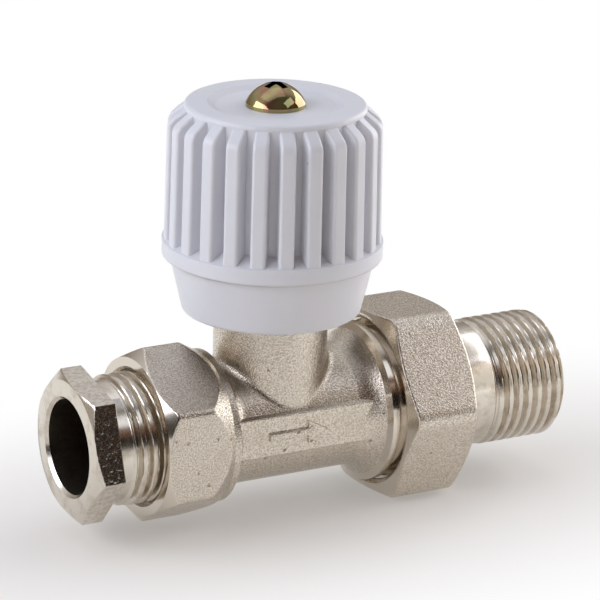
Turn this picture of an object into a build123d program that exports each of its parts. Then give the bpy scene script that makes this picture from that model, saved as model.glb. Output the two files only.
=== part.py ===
from build123d import *
import math
import os

# Straight manual radiator valve: a forged body with a compression end for copper pipe, a union
# with a threaded tail for the radiator, and a ribbed handwheel on a rising spindle.
# Millimetres. Shapes are drawn with X along the pipe axis towards the radiator, Z up the spindle
# and both axes crossing at zero. They are then moved along X, so that the origin of the finished
# part is where the tail's thread begins. The valve is drawn shut.

# Gaps
THREAD_GAP = 0.05  # radial, between threads that mate
RUN_GAP = 0.05  # radial, where the spindle turns in the bonnet and the disc
FIXED_GAP = 0.02  # between pieces that are screwed or pressed together for good
TURN_GAP = 0.2  # axial, between pieces that turn on one another

# Pipe and pipe threads, as plain cylinders at the crest
PIPE_R = 7.5  # 15 mm copper pipe
PIPE_GAP = 0.1
HALF_INCH_R = 10.4775
THREE_QUARTER_R = 13.2205

# Rounding where the turned ends of a forged hexagon meet its flats
FORGED_EDGE_R = 0.4

# Forged body: tube, neck and the flat panel that stands out of each side
TUBE_R = 9.95
PANEL_W = 6.5
PANEL_Z = 0.25  # middle of the panel, above the pipe axis
PANEL_PROUD = 0.12  # face of the panel, outside the tube
PANEL_DRAFT_DEG = 20.0
PANEL_EDGE_R = 0.25
NECK_STEP = 0.85  # tube radius less neck radius
NECK_TOP_Z = 20.0
NECK_ROOT_R = 1.5

# Forged body: hexagonal inlet end, measured outwards from the spindle axis
WAIST_STEP = 0.95  # tube radius less the distance at which the collar begins to swell
COLLAR_R = 12.3
COLLAR_L = 1.1
HEX_BACK_L = 4.3
HEX_L = 5.7
HEX_FACE_L = 1.7
HEX_FACE_R = 12.7
BODY_HEX_AF = 25.5
BODY_HEX_CORNER_R = 1.4

# Forged body: union end, measured outwards from the spindle axis
FLARE_X = 11.6
FLARE_L = 3.6
FLARE_R = 11.9
LAND_L = 1.7
LAND_R = 13.0
LAND_EDGE_R = 0.5
RELIEF_L = 1.4
RELIEF_R = 11.9
UNION_THREAD_L = 5.7

# Body bores
INLET_THREAD_L = 10.2
INLET_MOUTH = 0.7
OLIVE_CONE_DEG = 30.0
PIPE_STOP_L = 1.5
DRILL_R = 4.0
INLET_DRILL_Z = -3.4
OUTLET_DRILL_Z = 3.9
OUTLET_DRILL_X = 5.7
OUTLET_R = 8.0
OUTLET_L = 10.0
CHAMBER_R = 7.0
CHAMBER_FLOOR_Z = 2.2
SEAT_HOLE_R = 4.6
SEAT_LIP_R = 5.6
SEAT_LIP_H = 0.8

# Compression screw and olive
SCREW_ENGAGED_L = 3.2
SCREW_THREAD_L = 8.0
SCREW_RELIEF_L = 2.4
SCREW_RELIEF_STEP = 0.68  # thread radius less relief radius
SCREW_HEX_L = 4.4
SCREW_HEX_AF = 21.5
SCREW_HEX_DEG = 18.9  # corner, from up towards the back
SCREW_CHAMFER_DEG = 25.0
SCREW_MOUTH = 0.5
OLIVE_L = 6.0
OLIVE_R = 8.9
OLIVE_END_R = 7.95

# Union nut, tailpiece and its seal
NUT_L = 12.7
NUT_AF = 30.0
NUT_CORNER_R = 3.0
NUT_DEG = 33.8  # corner, from up towards the back
NUT_FACE_R = 14.3
NUT_CHAMFER_L = 1.0
NUT_END_CHAMFER_L = 1.5
NUT_LIP_T = 2.4
NUT_LIP_GAP = 0.25
NUT_MOUTH = 0.7
SEAL_T = 1.5
SEAL_R = 11.6
SEAL_HOLE_R = 8.4
TAIL_COLLAR_T = 2.3
TAIL_COLLAR_R = 12.6
TAIL_SHANK_STEP = 0.18  # thread radius less shank radius
TAIL_SHANK_L = 6.1
TAIL_THREAD_L = 13.8
TAIL_CHAMFER = 0.9
TAIL_BORE_R = 7.6
LUG_W = 3.0
LUG_H = 1.8
LUG_L = 7.0

# Bonnet, packing and packing nut
BONNET_SEAL_T = 1.0
BONNET_SEAL_R = 8.9
BONNET_THREAD_R = 7.5
BONNET_THREAD_L = 8.7
BONNET_HEX_AF = 17.0
BONNET_HEX_L = 5.0
BARREL_R = 7.4
BARREL_L = 9.0
STEM_BORE_L = 7.1
FEMALE_THREAD_TOP_Z = 22.4
PACKING_R = 6.2
PACKING_T = 1.8
FOLLOWER_T = 0.8
PACKING_NUT_AF = 15.0
PACKING_NUT_HEX_L = 2.7
PACKING_NUT_STEP = 0.3  # hexagon above the end of the barrel

# Spindle and its seals
LIFT = 3.75
SPINDLE_THREAD_R = 5.0
SPINDLE_THREAD_L = 7.0
STEM_R = 4.0
SPINDLE_TOP_Z = 47.5
FLATS_AF = 6.4
FLATS_L = 8.0
RING_SECTION_R = 0.6
RING_GROOVE_W = 1.4
RING_Z = (23.3, 25.0)
BUTTON_R = 3.3
BUTTON_L = 1.6
BUTTON_NECK_R = 2.4

# Valve disc, seat washer and what holds them
DISC_R = 5.9
DISC_FLOOR_T = 2.1
DISC_RIM_T = 0.9
WASHER_T = 1.9
CLIP_T = 0.7
CLIP_R = 4.2
CLIP_SLIT = 3.0
WASHER_SCREW_R = 1.5
WASHER_SCREW_L = 3.5
WASHER_SCREW_HEAD_R = 2.8
WASHER_SCREW_HEAD_L = 1.4

# Handwheel
WHEEL_BOTTOM_Z = 18.2
SKIRT_TOP_Z = 27.1
FLANGE_TOP_Z = 29.7
LEDGE_TOP_Z = 31.0
SHOULDER_Z = 49.0
WHEEL_TOP_Z = 51.9
FLANGE_R = 17.5
FLANGE_EDGE_R = 0.4
FLANGE_STEP = 1.2  # flange radius less skirt radius
SKIRT_TAPER = 2.1
SKIRT_EDGE_R = 0.5
RIB_INSET = 0.3  # foot of a rib, in from the flange's edge
RIB_TAPER = 0.3
RIB_DEPTH = 3.1
RIB_SHOULDER_ROUND = 2.0
CROWN_STEP = 0.25  # crown radius less core radius
CROWN_T = 0.9  # straight side of the crown and its rounded edge together
CROWN_EDGE_R = 0.7
RIB_COUNT = 24
RIB_W = 2.4
RIB_EDGE_R = 0.5
RIB_PHASE_DEG = 8.6
WALL = 1.75
RIM_W = 3.65  # top of the crown, outside the dish
DISH_DEPTH = 0.6
DISH_WALL_L = 1.2  # width of the slope between the dish and the crown
HUB_R = 6.8
HUB_BOTTOM_Z = 38.8
WEB_COUNT = 6
WEB_T = 1.4
WEB_L = 7.5

# Handwheel screw
WHEEL_SCREW_R = 2.45
WHEEL_SCREW_L = 14.0
HEAD_R = 4.75
HEAD_H = 3.7
HEAD_RIM_H = 0.6
CROSS_W = 1.2
CROSS_SPAN = 4.2
CROSS_TURN_DEG = 15.6
CROSS_DEPTH = 1.9

# Places along the pipe axis, and radii about it
WAIST_X = TUBE_R - WAIST_STEP
COLLAR_X = -(WAIST_X + COLLAR_R - TUBE_R)
HEX_BACK_X = COLLAR_X - COLLAR_L
INLET_FACE_X = HEX_BACK_X - HEX_BACK_L - HEX_L - HEX_FACE_L
LAND_X = FLARE_X + FLARE_L
RELIEF_X = LAND_X + LAND_L
UNION_THREAD_X = RELIEF_X + RELIEF_L
UNION_FACE_X = UNION_THREAD_X + UNION_THREAD_L
TAIL_X = UNION_FACE_X + SEAL_T
NUT_LIP_X = TAIL_X + TAIL_COLLAR_T + FIXED_GAP
NUT_END_X = NUT_LIP_X + NUT_LIP_T
NUT_X = NUT_END_X - NUT_L
TAIL_THREAD_X = NUT_END_X + TAIL_SHANK_L
TAIL_END_X = TAIL_THREAD_X + TAIL_THREAD_L
PIPE_BORE_R = PIPE_R + PIPE_GAP
TAIL_SHANK_R = HALF_INCH_R - TAIL_SHANK_STEP
SCREW_RELIEF_R = HALF_INCH_R - SCREW_RELIEF_STEP
CONE_SLOPE = math.tan(math.radians(OLIVE_CONE_DEG))
SCREW_TIP_X = INLET_FACE_X + SCREW_ENGAGED_L
SCREW_THREAD_X = SCREW_TIP_X - SCREW_THREAD_L
SCREW_HEX_X = SCREW_THREAD_X - SCREW_RELIEF_L
SCREW_END_X = SCREW_HEX_X - SCREW_HEX_L

# Radii of the handwheel
SKIRT_TOP_R = FLANGE_R - FLANGE_STEP
SKIRT_BOTTOM_R = SKIRT_TOP_R - SKIRT_TAPER
RIB_FOOT_R = FLANGE_R - RIB_INSET
RIB_SHOULDER_R = RIB_FOOT_R - RIB_TAPER
CORE_R = RIB_FOOT_R - RIB_DEPTH
CROWN_R = CORE_R + CROWN_STEP
DISH_R = CROWN_R - RIM_W

# Heights along the spindle axis
SEAT_Z = CHAMBER_FLOOR_Z + SEAT_LIP_H
WASHER_Z = SEAT_Z + FIXED_GAP
DISC_Z = WASHER_Z + WASHER_T
BUTTON_Z = DISC_Z + DISC_FLOOR_T + TURN_GAP
CLIP_Z = BUTTON_Z + BUTTON_L + TURN_GAP
DISC_TOP_Z = CLIP_Z + CLIP_T + DISC_RIM_T
SPINDLE_THREAD_Z = DISC_TOP_Z + TURN_GAP
DISC_ROOM_Z = DISC_TOP_Z + LIFT + TURN_GAP
BONNET_HEX_Z = NECK_TOP_Z + BONNET_SEAL_T
BARREL_Z = BONNET_HEX_Z + BONNET_HEX_L
BARREL_TOP_Z = BARREL_Z + BARREL_L
BONNET_Z = BONNET_HEX_Z - BONNET_SEAL_T - BONNET_THREAD_L
PACKING_Z = FEMALE_THREAD_TOP_Z + STEM_BORE_L
FOLLOWER_Z = PACKING_Z + PACKING_T
PACKING_NUT_Z = FOLLOWER_Z + FOLLOWER_T
PACKING_HEX_Z = BARREL_TOP_Z + PACKING_NUT_STEP
HEAD_SEAT_Z = WHEEL_TOP_Z - DISH_DEPTH

# Curves that a cone cuts from the flats and the rounded corners of a hexagon
FLAT_EDGES = (GeomType.HYPERBOLA, GeomType.BSPLINE)


def turned_x(*points):
    """Solid of revolution about the pipe axis, from (x, radius) points."""
    return revolve(make_face(Polyline(*points, close=True)), Axis.X)


def turned_z(*points):
    """Solid of revolution about the spindle axis, from (radius, z) points."""
    return revolve(Plane.XZ * make_face(Polyline(*points, close=True)), Axis.Z)


def rod_x(radius, start, end, z=0.0):
    """Cylinder along X between two places, at height z."""
    rod = Rot(0, 90, 0) * Cylinder(radius, end - start)
    return Pos((start + end) / 2, 0, z) * rod


def rod_z(radius, bottom, top):
    """Cylinder on the spindle axis between two heights."""
    return Pos(0, 0, (bottom + top) / 2) * Cylinder(radius, top - bottom)


def ring_z(radius, hole, bottom, top):
    """Flat ring on the spindle axis."""
    return rod_z(radius, bottom, top) - rod_z(hole, bottom, top)


def hexagon(across_flats, corner_deg, corner_r=0.0):
    """Hexagon with one corner at the given angle, clockwise from the sketch's Y axis."""
    outline = RegularPolygon(across_flats / 2, 6, major_radius=False, rotation=90 - corner_deg)
    if corner_r > 0:
        outline = fillet(outline.vertices(), corner_r)
    return outline


def hex_bar_x(across_flats, corner_deg, start, end, corner_r=0.0):
    """Hexagonal bar along X, with a corner at the given angle from up towards +Y."""
    outline = hexagon(across_flats, corner_deg, corner_r)
    return extrude(Plane.YZ.offset(start) * outline, end - start)


def hex_bar_z(across_flats, bottom, top):
    """Hexagonal bar on the spindle axis."""
    return extrude(Plane.XY.offset(bottom) * hexagon(across_flats, 0), top - bottom)


def forged_hex_x(envelope, across_flats, corner_deg, start, end, corner_r):
    """Hexagonal bar along X cut to a turned envelope, with the edges of the flats rounded."""
    bar = envelope & hex_bar_x(across_flats, corner_deg, start, end, corner_r)
    return fillet(bar.edges().filter_by(lambda e: e.geom_type in FLAT_EDGES), FORGED_EDGE_R)


def nut_envelope_z(across_flats, bottom, top):
    """Turned shape that takes the sharp corners off the upper end of a hexagon."""
    corner = across_flats / math.sqrt(3)
    flat = across_flats / 2
    fall = (corner - flat) * math.tan(math.radians(30))
    return turned_z((0, bottom), (corner, bottom), (corner, top - fall), (flat, top), (0, top))


def side_panels():
    """Bar across the tube that stands out of each side as a flat panel, drafted as the forging die was."""
    half = PANEL_W / 2
    face_y = TUBE_R + PANEL_PROUD
    ridge = half + face_y * math.tan(math.radians(PANEL_DRAFT_DEG))
    section = Polygon(
        (-face_y, -half), (0, -ridge), (face_y, -half), (face_y, half), (0, ridge), (-face_y, half), align=None
    )
    end = LAND_X + LAND_L / 2
    bar = extrude(Plane.YZ.offset(COLLAR_X) * Pos(0, PANEL_Z) * section, end - COLLAR_X)
    edges = bar.edges().filter_by(Axis.X).filter_by(lambda e: abs(e.center().Y) > TUBE_R)
    return fillet(edges, PANEL_EDGE_R)


def body_forging():
    """Outside of the forged body, before any bore is cut."""
    tube = rod_x(TUBE_R, HEX_BACK_X, LAND_X)
    neck = rod_z(TUBE_R - NECK_STEP, 0, NECK_TOP_Z)
    tee = tube + neck
    root = [e for e in tee.edges().filter_by(GeomType.BSPLINE) if e.center().Z > 0]
    tee = fillet(root, NECK_ROOT_R) + side_panels()

    # The collar swells out of the tube in a quarter round
    swell = COLLAR_R - TUBE_R
    middle = swell * (1 - math.sqrt(0.5))
    waist = (-WAIST_X, TUBE_R)
    collar = (COLLAR_X, COLLAR_R)
    outline = (
        ThreePointArc(waist, (COLLAR_X + middle, TUBE_R + middle), collar)
        + Line(collar, (HEX_BACK_X, COLLAR_R))
        + Line((HEX_BACK_X, COLLAR_R), (HEX_BACK_X, 0))
        + Line((HEX_BACK_X, 0), (-WAIST_X, 0))
        + Line((-WAIST_X, 0), waist)
    )
    collar_solid = revolve(make_face(outline), Axis.X)

    corner = BODY_HEX_AF / math.sqrt(3)
    taper_x = HEX_BACK_X - HEX_BACK_L
    envelope = turned_x(
        (INLET_FACE_X, 0),
        (INLET_FACE_X, HEX_FACE_R),
        (INLET_FACE_X + HEX_FACE_L, corner),
        (taper_x, corner),
        (HEX_BACK_X, COLLAR_R),
        (HEX_BACK_X, 0),
    )
    hex_end = forged_hex_x(envelope, BODY_HEX_AF, 0, INLET_FACE_X, HEX_BACK_X, BODY_HEX_CORNER_R)

    # The bell opens out of the tube in an arc, then steps out to a turned land
    rise = FLARE_R - TUBE_R
    flare_start = (FLARE_X, TUBE_R)
    flare_end = (LAND_X, FLARE_R)
    bell_outline = (
        ThreePointArc(flare_start, (FLARE_X + FLARE_L * 0.55, TUBE_R + rise * 0.32), flare_end)
        + Polyline(
            flare_end,
            (LAND_X + LAND_EDGE_R, LAND_R),
            (RELIEF_X, LAND_R),
            (RELIEF_X, RELIEF_R),
            (UNION_THREAD_X, RELIEF_R),
            (UNION_THREAD_X, THREE_QUARTER_R),
            (UNION_FACE_X, THREE_QUARTER_R),
            (UNION_FACE_X, 0),
            (FLARE_X, 0),
            flare_start,
        )
    )
    bell = revolve(make_face(bell_outline), Axis.X)
    return tee + collar_solid + hex_end + bell


def make_valve_body():
    """Forged body with its bores: inlet socket, passages past the seat, chamber and outlet."""
    inlet_r = HALF_INCH_R + THREAD_GAP
    cone_x = INLET_FACE_X + INLET_THREAD_L
    cone_r = OLIVE_R + 2 * PIPE_GAP
    stop_x = cone_x + (cone_r - PIPE_BORE_R) / CONE_SLOPE
    floor_x = stop_x + PIPE_STOP_L
    socket = turned_x(
        (INLET_FACE_X, 0),
        (INLET_FACE_X, inlet_r + INLET_MOUTH),
        (INLET_FACE_X + INLET_MOUTH, inlet_r),
        (cone_x, inlet_r),
        (cone_x, cone_r),
        (stop_x, PIPE_BORE_R),
        (floor_x, PIPE_BORE_R),
        (floor_x, 0),
    )
    outlet_x = UNION_FACE_X - OUTLET_L
    inlet_drill = rod_x(DRILL_R, floor_x, SEAT_HOLE_R, INLET_DRILL_Z)
    outlet_drill = rod_x(DRILL_R, OUTLET_DRILL_X, outlet_x, OUTLET_DRILL_Z)
    outlet = rod_x(OUTLET_R, outlet_x, UNION_FACE_X)
    chamber = rod_z(CHAMBER_R, CHAMBER_FLOOR_Z, NECK_TOP_Z)
    chamber -= rod_z(SEAT_LIP_R, CHAMBER_FLOOR_Z, SEAT_Z)
    seat_hole = rod_z(SEAT_HOLE_R, INLET_DRILL_Z, SEAT_Z)
    neck_thread = rod_z(BONNET_THREAD_R + FIXED_GAP, BONNET_Z, NECK_TOP_Z)
    return body_forging() - [
        socket, inlet_drill, outlet_drill, outlet, chamber, seat_hole, neck_thread
    ]


def make_compression_screw():
    """Hollow screw that squeezes the olive onto the pipe."""
    bore = PIPE_BORE_R
    tip_cone_l = (OLIVE_R - bore) / CONE_SLOPE
    shank = turned_x(
        (SCREW_HEX_X, 0),
        (SCREW_HEX_X, SCREW_RELIEF_R),
        (SCREW_THREAD_X, SCREW_RELIEF_R),
        (SCREW_THREAD_X, HALF_INCH_R),
        (SCREW_TIP_X, HALF_INCH_R),
        (SCREW_TIP_X, 0),
    )
    corner = SCREW_HEX_AF / math.sqrt(3)
    flat = SCREW_HEX_AF / 2
    fall = (corner - flat) * math.tan(math.radians(SCREW_CHAMFER_DEG))
    envelope = turned_x(
        (SCREW_END_X, 0), (SCREW_END_X, flat), (SCREW_END_X + fall, corner),
        (SCREW_HEX_X, corner), (SCREW_HEX_X, 0),
    )
    head = envelope & hex_bar_x(SCREW_HEX_AF, SCREW_HEX_DEG, SCREW_END_X, SCREW_HEX_X)
    hole = turned_x(
        (SCREW_END_X, 0),
        (SCREW_END_X, bore + SCREW_MOUTH),
        (SCREW_END_X + SCREW_MOUTH, bore),
        (SCREW_TIP_X - tip_cone_l, bore),
        (SCREW_TIP_X, OLIVE_R),
        (SCREW_TIP_X, 0),
    )
    return head + shank - hole


def make_olive():
    """Brass olive between the screw's inner cone and the cone in the body."""
    end_l = (OLIVE_R - OLIVE_END_R) / CONE_SLOPE
    start = SCREW_TIP_X - end_l + TURN_GAP
    end = start + OLIVE_L
    return turned_x(
        (start, PIPE_BORE_R),
        (start, OLIVE_END_R),
        (start + end_l, OLIVE_R),
        (end - end_l, OLIVE_R),
        (end, OLIVE_END_R),
        (end, PIPE_BORE_R),
    )


def make_union_nut():
    """Forged union nut with rounded corners and turned ends."""
    corner = NUT_AF / math.sqrt(3)
    bore = THREE_QUARTER_R + THREAD_GAP
    lip_r = HALF_INCH_R + NUT_LIP_GAP
    envelope = turned_x(
        (NUT_X, 0),
        (NUT_X, NUT_FACE_R),
        (NUT_X + NUT_CHAMFER_L, corner),
        (NUT_END_X - NUT_END_CHAMFER_L, corner),
        (NUT_END_X, NUT_FACE_R),
        (NUT_END_X, 0),
    )
    hole = turned_x(
        (NUT_X, 0),
        (NUT_X, bore + NUT_MOUTH),
        (NUT_X + NUT_MOUTH, bore),
        (NUT_LIP_X, bore),
        (NUT_LIP_X, lip_r),
        (NUT_END_X, lip_r),
        (NUT_END_X, 0),
    )
    return forged_hex_x(envelope, NUT_AF, NUT_DEG, NUT_X, NUT_END_X, NUT_CORNER_R) - hole


def make_tailpiece():
    """Threaded tail with the collar that the union nut pulls on and two lugs for a key."""
    tail = turned_x(
        (TAIL_X, TAIL_BORE_R),
        (TAIL_X, TAIL_COLLAR_R),
        (TAIL_X + TAIL_COLLAR_T, TAIL_COLLAR_R),
        (TAIL_X + TAIL_COLLAR_T, TAIL_SHANK_R),
        (TAIL_THREAD_X, TAIL_SHANK_R),
        (TAIL_THREAD_X, HALF_INCH_R),
        (TAIL_END_X - TAIL_CHAMFER, HALF_INCH_R),
        (TAIL_END_X, HALF_INCH_R - TAIL_CHAMFER),
        (TAIL_END_X, TAIL_BORE_R + TAIL_CHAMFER / 2),
        (TAIL_END_X - TAIL_CHAMFER / 2, TAIL_BORE_R),
    )
    lug_depth = LUG_H + TAIL_SHANK_R - TAIL_BORE_R
    bore_wall = rod_x(TAIL_SHANK_R, TAIL_X, TAIL_X + LUG_L)
    for side in (-1, 1):
        z = side * (TAIL_BORE_R - LUG_H + lug_depth / 2)
        lug = Pos(TAIL_X + LUG_L / 2, 0, z) * Box(LUG_L, LUG_W, lug_depth)
        tail += lug & bore_wall
    return tail


def make_tail_seal_ring():
    """Flat seal between the body's end face and the tail's collar."""
    return rod_x(SEAL_R, UNION_FACE_X, TAIL_X) - rod_x(SEAL_HOLE_R, UNION_FACE_X, TAIL_X)


def make_bonnet():
    """Bonnet screwed into the neck: spindle thread, stem bore and packing chamber."""
    thread_r = SPINDLE_THREAD_R + THREAD_GAP
    shank = rod_z(BONNET_THREAD_R, BONNET_Z, BONNET_HEX_Z)
    hexagon_bar = hex_bar_z(BONNET_HEX_AF, BONNET_HEX_Z, BARREL_Z)
    hexagon_bar &= nut_envelope_z(BONNET_HEX_AF, BONNET_HEX_Z, BARREL_Z)
    barrel = rod_z(BARREL_R, BARREL_Z, BARREL_TOP_Z)
    inside = turned_z(
        (0, BONNET_Z),
        (DISC_R + TURN_GAP, BONNET_Z),
        (DISC_R + TURN_GAP, DISC_ROOM_Z),
        (thread_r, DISC_ROOM_Z),
        (thread_r, FEMALE_THREAD_TOP_Z),
        (STEM_R + RUN_GAP, FEMALE_THREAD_TOP_Z),
        (STEM_R + RUN_GAP, PACKING_Z),
        (PACKING_R, PACKING_Z),
        (PACKING_R, BARREL_TOP_Z),
        (0, BARREL_TOP_Z),
    )
    return shank + hexagon_bar + barrel - inside


def make_bonnet_seal_ring():
    """Sealing washer under the bonnet's hexagon."""
    return ring_z(BONNET_SEAL_R, BONNET_THREAD_R + FIXED_GAP, NECK_TOP_Z, BONNET_HEX_Z)


def make_packing_ring():
    """Soft packing round the stem, at the bottom of its chamber."""
    return ring_z(PACKING_R - FIXED_GAP, STEM_R + RUN_GAP, PACKING_Z, FOLLOWER_Z)


def make_gland_follower():
    """Ring between the packing and the nut that presses it."""
    return ring_z(PACKING_R - FIXED_GAP, STEM_R + RUN_GAP, FOLLOWER_Z, PACKING_NUT_Z)


def make_packing_nut():
    """Hexagon-headed gland screwed into the top of the bonnet."""
    top = PACKING_HEX_Z + PACKING_NUT_HEX_L
    shank = rod_z(PACKING_R - FIXED_GAP, PACKING_NUT_Z, PACKING_HEX_Z)
    head = hex_bar_z(PACKING_NUT_AF, PACKING_HEX_Z, top)
    head &= nut_envelope_z(PACKING_NUT_AF, PACKING_HEX_Z, top)
    return shank + head - rod_z(STEM_R + RUN_GAP, PACKING_NUT_Z, top)


def make_spindle():
    """Spindle: button for the disc, thread, grooved stem and a flatted, tapped end."""
    button_top = BUTTON_Z + BUTTON_L
    thread_top = SPINDLE_THREAD_Z + SPINDLE_THREAD_L
    spindle = turned_z(
        (0, BUTTON_Z),
        (BUTTON_R, BUTTON_Z),
        (BUTTON_R, button_top),
        (BUTTON_NECK_R, button_top),
        (BUTTON_NECK_R, SPINDLE_THREAD_Z),
        (SPINDLE_THREAD_R, SPINDLE_THREAD_Z),
        (SPINDLE_THREAD_R, thread_top),
        (STEM_R, thread_top),
        (STEM_R, SPINDLE_TOP_Z),
        (0, SPINDLE_TOP_Z),
    )
    root_r = STEM_R + RUN_GAP - 2 * RING_SECTION_R - 2 * FIXED_GAP
    for z in RING_Z:
        half = RING_GROOVE_W / 2
        spindle -= ring_z(2 * STEM_R, root_r, z - half, z + half)
    for side in (-1, 1):
        y = side * (FLATS_AF + STEM_R) / 2
        spindle -= Pos(0, y, SPINDLE_TOP_Z - FLATS_L / 2) * Box(2 * STEM_R, STEM_R, FLATS_L)
    screw_end_z = HEAD_SEAT_Z - WHEEL_SCREW_L
    return spindle - rod_z(WHEEL_SCREW_R + FIXED_GAP, screw_end_z - TURN_GAP, SPINDLE_TOP_Z)


def make_spindle_ring(z):
    """Rubber ring in one of the stem's grooves."""
    centre_r = STEM_R + RUN_GAP - FIXED_GAP - RING_SECTION_R
    return Pos(0, 0, z) * Torus(centre_r, RING_SECTION_R)


def make_valve_disc():
    """Cup that holds the seat washer below and the spindle's button above."""
    pocket_z = BUTTON_Z - TURN_GAP
    inside = turned_z(
        (0, pocket_z),
        (BUTTON_R + RUN_GAP, pocket_z),
        (BUTTON_R + RUN_GAP, CLIP_Z - FIXED_GAP),
        (CLIP_R + FIXED_GAP, CLIP_Z - FIXED_GAP),
        (CLIP_R + FIXED_GAP, CLIP_Z + CLIP_T + FIXED_GAP),
        (BUTTON_R + RUN_GAP, CLIP_Z + CLIP_T + FIXED_GAP),
        (BUTTON_R + RUN_GAP, DISC_TOP_Z),
        (0, DISC_TOP_Z),
    )
    tapped = rod_z(WASHER_SCREW_R + FIXED_GAP, DISC_Z, pocket_z)
    return rod_z(DISC_R, DISC_Z, DISC_TOP_Z) - inside - tapped


def make_seat_washer():
    """Soft washer that closes on the seat."""
    return ring_z(DISC_R, WASHER_SCREW_R + FIXED_GAP, WASHER_Z, DISC_Z)


def make_washer_screw():
    """Screw that holds the seat washer to the disc."""
    head_z = WASHER_Z - WASHER_SCREW_HEAD_L
    head = rod_z(WASHER_SCREW_HEAD_R, head_z, WASHER_Z)
    slot = Pos(0, 0, head_z) * Box(3 * WASHER_SCREW_HEAD_R, CROSS_W, WASHER_SCREW_HEAD_L)
    return head - slot + rod_z(WASHER_SCREW_R, WASHER_Z, WASHER_Z + WASHER_SCREW_L)


def make_disc_clip():
    """Slit spring ring that keeps the spindle's button in the disc."""
    ring = ring_z(CLIP_R, BUTTON_NECK_R + RUN_GAP, CLIP_Z, CLIP_Z + CLIP_T)
    return ring - Pos(CLIP_R / 2, 0, CLIP_Z + CLIP_T / 2) * Box(CLIP_R + WALL, CLIP_SLIT, CLIP_T)


def make_handwheel():
    """Moulded handwheel: ribbed grip on a flange, tapered skirt, hub and inner webs."""
    crown_z = WHEEL_TOP_Z - CROWN_T
    shell = turned_z(
        (0, WHEEL_BOTTOM_Z),
        (SKIRT_BOTTOM_R, WHEEL_BOTTOM_Z),
        (SKIRT_TOP_R, SKIRT_TOP_Z),
        (FLANGE_R, SKIRT_TOP_Z),
        (FLANGE_R, FLANGE_TOP_Z),
        (CORE_R, LEDGE_TOP_Z),
        (CORE_R, crown_z),
        (CROWN_R, crown_z),
        (CROWN_R, WHEEL_TOP_Z),
        (0, WHEEL_TOP_Z),
    )
    rings = shell.edges().filter_by(GeomType.CIRCLE)
    shell = fillet(rings.group_by(Axis.Z)[-1], CROWN_EDGE_R)
    rings = shell.edges().filter_by(GeomType.CIRCLE)
    shell = fillet(rings.group_by(Axis.Z)[0], SKIRT_EDGE_R)
    flange_rings = shell.edges().filter_by(lambda e: e.geom_type == GeomType.CIRCLE and e.radius > RIB_FOOT_R)
    shell = fillet(flange_rings.group_by(Axis.Z)[0], FLANGE_EDGE_R)

    # Each rib slopes from the crown to a rounded shoulder and stands on the flange
    rib_foot_z = FLANGE_TOP_Z - WALL / 2
    rib_outline = make_face(
        Polyline(
            (CORE_R - WALL / 2, rib_foot_z),
            (RIB_FOOT_R, rib_foot_z),
            (RIB_SHOULDER_R, SHOULDER_Z),
            (CROWN_R, crown_z),
            (CORE_R - WALL / 2, crown_z),
            close=True,
        )
    )
    shoulder = rib_outline.vertices().sort_by_distance((RIB_SHOULDER_R, SHOULDER_Z, 0))[0]
    rib_outline = fillet(shoulder, RIB_SHOULDER_ROUND)
    rib = extrude(Plane.XZ * rib_outline, RIB_W / 2, both=True)
    outer = rib.edges().filter_by(lambda e: e.center().X > CORE_R and abs(e.center().Y) > RIB_W / 4)
    rib = fillet(outer.filter_by(lambda e: e.center().Z > FLANGE_TOP_Z), RIB_EDGE_R)
    step = 360 / RIB_COUNT
    wheel = shell + [Rot(0, 0, RIB_PHASE_DEG + i * step) * rib for i in range(RIB_COUNT)]

    ceiling_z = WHEEL_TOP_Z - DISH_DEPTH - WALL
    cavity = turned_z(
        (0, WHEEL_BOTTOM_Z),
        (SKIRT_BOTTOM_R - WALL, WHEEL_BOTTOM_Z),
        (SKIRT_TOP_R - WALL, SKIRT_TOP_Z),
        (CORE_R - WALL, LEDGE_TOP_Z),
        (CORE_R - WALL, ceiling_z),
        (0, ceiling_z),
    )
    wheel -= cavity
    web_span = CORE_R - WALL / 2
    web = Pos(web_span / 2, 0, ceiling_z - WEB_L / 2) * Box(web_span, WEB_T, WEB_L)
    hub = rod_z(HUB_R, HUB_BOTTOM_Z, ceiling_z)
    wheel = wheel + hub + [Rot(0, 0, i * 360 / WEB_COUNT) * web for i in range(WEB_COUNT)]

    socket = rod_z(STEM_R + FIXED_GAP, HUB_BOTTOM_Z, SPINDLE_TOP_Z + TURN_GAP)
    keep = Box(4 * STEM_R, FLATS_AF + 2 * FIXED_GAP, 4 * WHEEL_TOP_Z)
    flats_z = SPINDLE_TOP_Z - FLATS_L
    wheel -= (socket & keep) + (socket & Pos(0, 0, flats_z / 2) * Box(4 * STEM_R, 4 * STEM_R, flats_z))
    wheel -= rod_z(WHEEL_SCREW_R + PIPE_GAP, SPINDLE_TOP_Z, WHEEL_TOP_Z)
    dish = turned_z(
        (0, HEAD_SEAT_Z),
        (DISH_R - DISH_WALL_L, HEAD_SEAT_Z),
        (DISH_R, WHEEL_TOP_Z),
        (0, WHEEL_TOP_Z),
    )
    return wheel - dish


def make_handwheel_screw():
    """Domed cross-recess screw that holds the handwheel to the spindle."""
    top_z = HEAD_SEAT_Z + HEAD_H
    dome_h = HEAD_H - HEAD_RIM_H
    dome_r = (HEAD_R**2 + dome_h**2) / (2 * dome_h)
    head = rod_z(HEAD_R, HEAD_SEAT_Z, top_z) & Pos(0, 0, top_z - dome_r) * Sphere(dome_r)
    for turn in (CROSS_TURN_DEG, CROSS_TURN_DEG + 90):
        head -= Pos(0, 0, top_z) * Rot(0, 0, turn) * Box(CROSS_SPAN, CROSS_W, 2 * CROSS_DEPTH)
    return head + rod_z(WHEEL_SCREW_R, HEAD_SEAT_Z - WHEEL_SCREW_L, HEAD_SEAT_Z)


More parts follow.
